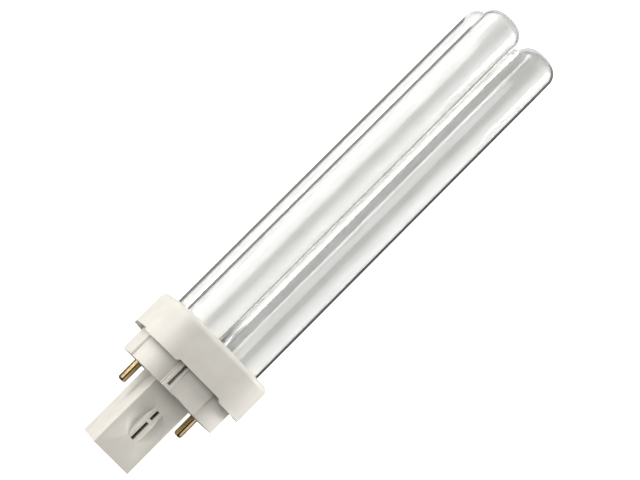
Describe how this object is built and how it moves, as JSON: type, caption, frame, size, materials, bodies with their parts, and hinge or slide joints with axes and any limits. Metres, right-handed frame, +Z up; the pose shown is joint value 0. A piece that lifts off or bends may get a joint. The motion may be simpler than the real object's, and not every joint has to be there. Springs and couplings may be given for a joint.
{
  "type": "quad tube compact fluorescent lamp",
  "caption": "Plug-in compact fluorescent lamp: white glass limbs side by side in a square plastic cap, with two brass pins beside a keyed rectangular post.",
  "frame": {"origin": "middle of the two-pin pattern, on the end face of the cap's lower body that seats in a lampholder", "axes": "+X along the lamp from the cap towards the tube tips; +Y from the right pin to the left pin; +Z up as the lamp lies on a flat of its collar, out of the post's narrow face with the dimple"},
  "size_m": [0.1604, 0.0358, 0.0358],
  "materials": {
    "coated_glass": "clear soda-lime glass over a white phosphor coat, opaque",
    "cap_plastic": "moulded thermoplastic polyester, satin gloss, warm white",
    "pin_brass": "turned and polished",
    "cement": "matte cast cement",
    "starter_glass": "clear blown glass, sealed",
    "capacitor_coat": "dipped resin coat",
    "lead_wire": "plain drawn wire"
  },
  "bodies": {
    "root": {"discharge_vessel": "coated_glass", "cap_collar": "cap_plastic", "cap_base": "cap_plastic", "contact_pin_left": "pin_brass", "contact_pin_right": "pin_brass", "tube_cement": "cement", "starter_bulb": "starter_glass", "starter_capacitor": "capacitor_coat", "pin_lead_left": "lead_wire", "pin_lead_right": "lead_wire", "starter_lead_left": "lead_wire", "starter_lead_right": "lead_wire", "capacitor_lead_left": "lead_wire", "capacitor_lead_right": "lead_wire"}
  },
  "joints": []
}
